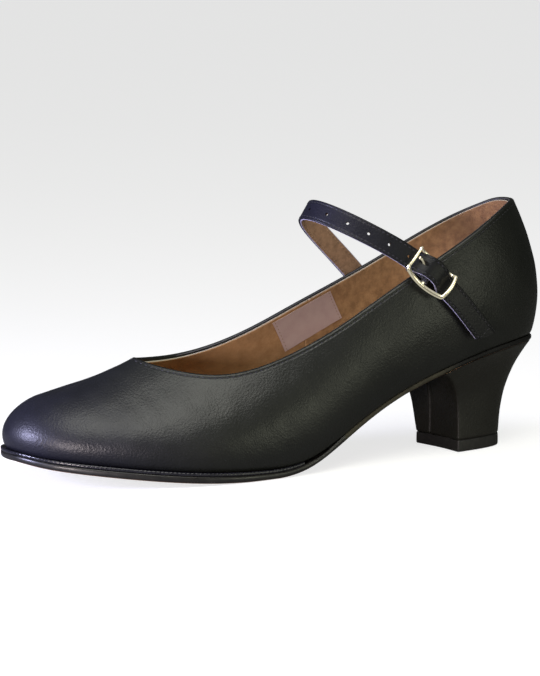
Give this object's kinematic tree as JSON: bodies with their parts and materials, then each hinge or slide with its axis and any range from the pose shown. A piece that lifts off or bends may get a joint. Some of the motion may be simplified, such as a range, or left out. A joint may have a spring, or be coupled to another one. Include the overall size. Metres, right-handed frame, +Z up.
{
  "type": "character tap shoe",
  "caption": "Closed-toe dance shoe for a left foot with a low round-throat vamp, a buckled instep strap, a welted leather sole and a leather-covered block heel.",
  "frame": {"origin": "centre of the top lift's underside, on the floor", "axes": "+X towards the toe, +Y towards the outer (buckle) side, which is the wearer's left, +Z up"},
  "size_m": [0.2404, 0.0744, 0.1086],
  "materials": {
    "black_leather": "satin fine grain",
    "tan_lining": "matt nubuck",
    "stiffener": "matt",
    "tape": "woven",
    "label": "woven satin, blank",
    "board": "matt fibreboard",
    "steel": "brushed",
    "cork": "cork",
    "foam": "closed cell",
    "black_welt": "polished edge",
    "sole_leather": "waxed edge",
    "heel_wood": "plain",
    "lift_rubber": "matt",
    "elastic": "ribbed elastic",
    "buckle_metal": "polished pale gold"
  },
  "bodies": {
    "shoe": {"upper": "black_leather", "vamp_lining": "tan_lining", "quarter_lining": "tan_lining", "toe_puff": "stiffener", "heel_counter": "stiffener", "topline_tape": "tape", "size_label": "label", "insole_board": "board", "shank": "steel", "shank_rivets": "steel", "bottom_filler": "cork", "cushion_foam": "foam", "sock_lining": "tan_lining", "welt": "black_welt", "outsole": "sole_leather", "heel_block": "heel_wood", "heel_cover": "black_leather", "heel_nails": "steel", "heel_screw": "steel", "top_lift": "lift_rubber", "lift_pins": "steel", "buckle_tab": "elastic"},
    "strap": {"strap": "black_leather", "strap_lining": "tan_lining"},
    "buckle": {"buckle_frame": "buckle_metal"},
    "prong": {"buckle_prong": "buckle_metal"}
  },
  "joints": [
    {"name": "strap_swing", "type": "hinge", "parent": "shoe", "child": "strap", "pos_m": [0.033, 0.0275, 0.08], "axis": [0.1544, -0.9844, -0.0849], "range_deg": [-30, 60], "deforming": ["buckle_tab"]},
    {"name": "buckle_tilt", "type": "hinge", "parent": "strap", "child": "buckle", "pos_m": [0.03159, 0.02866, 0.0794], "axis": [-0.6693, -0.0973, 0.7366], "range_deg": [-3, 3]},
    {"name": "prong_lift", "type": "hinge", "parent": "buckle", "child": "prong", "pos_m": [0.03159, 0.02866, 0.0794], "axis": [-0.6693, -0.0973, 0.7366], "range_deg": [0, 9]}
  ]
}
